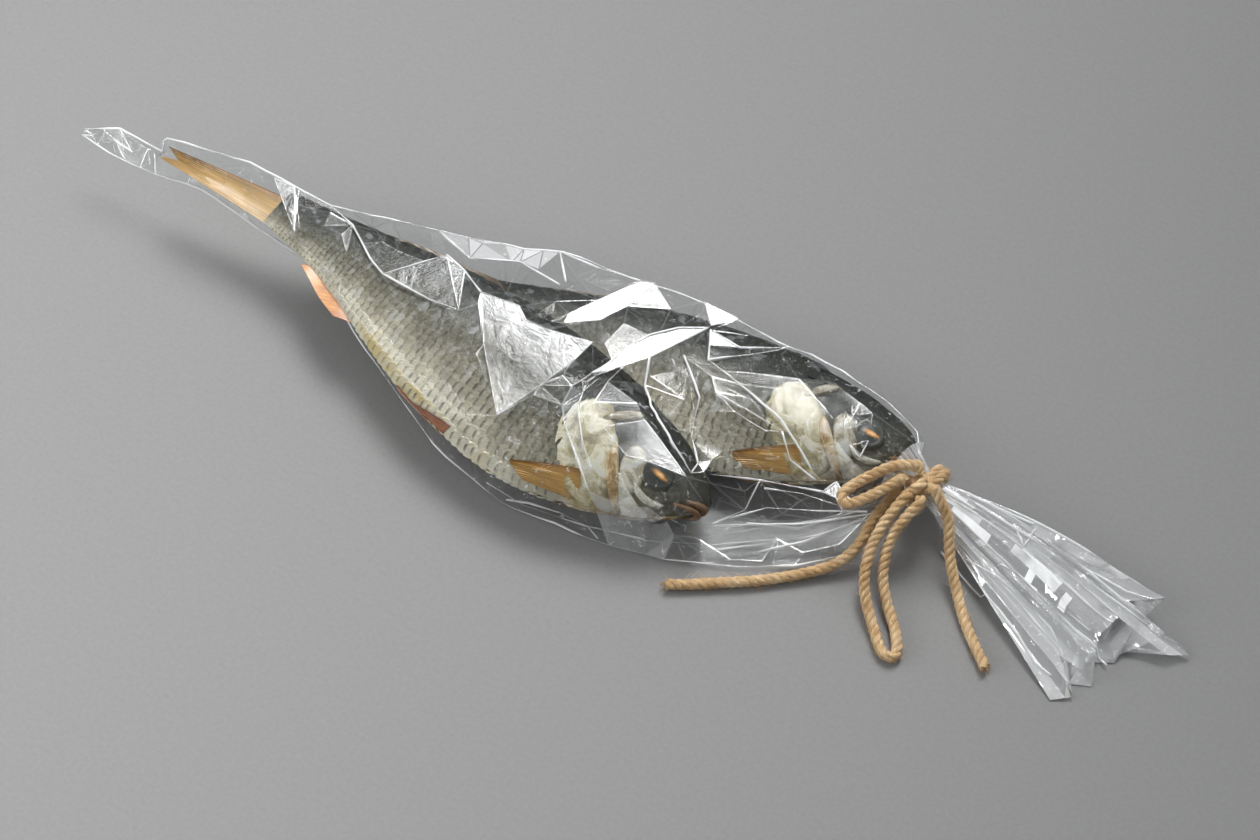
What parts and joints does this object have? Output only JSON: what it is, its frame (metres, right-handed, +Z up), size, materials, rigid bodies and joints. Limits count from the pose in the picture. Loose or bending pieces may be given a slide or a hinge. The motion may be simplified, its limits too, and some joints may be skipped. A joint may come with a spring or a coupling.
{
  "type": "dried roach in a tied clear film bag",
  "caption": "Dried roach lying on their sides in a clear crinkled film bag, gathered at the neck and tied with a bow of jute twine.",
  "frame": {"origin": "under the middle of the bag, on the surface that it lies on; the loose twine isn't counted", "axes": "+X from the tails to the tied neck, +Z up out of the shown flanks, -Y towards the bellies"},
  "size_m": [0.332, 0.076, 0.0255],
  "materials": {
    "clear_film": "clear crinkled polypropylene film, glossy",
    "roach_skin": "dried scaled fish skin, silver grey to cream",
    "roach_fin": "dried fin, orange brown, rayed",
    "roach_eye": "dried eye, dark with a golden pupil",
    "jute_twine": "three-ply jute, hairy"
  },
  "bodies": {
    "root": {"bag": "clear_film", "twine_wrap": "jute_twine", "twine_loop_left": "jute_twine", "twine_loop_down": "jute_twine", "twine_end_left": "jute_twine", "twine_end_right": "jute_twine"}
  },
  "joints": []
}
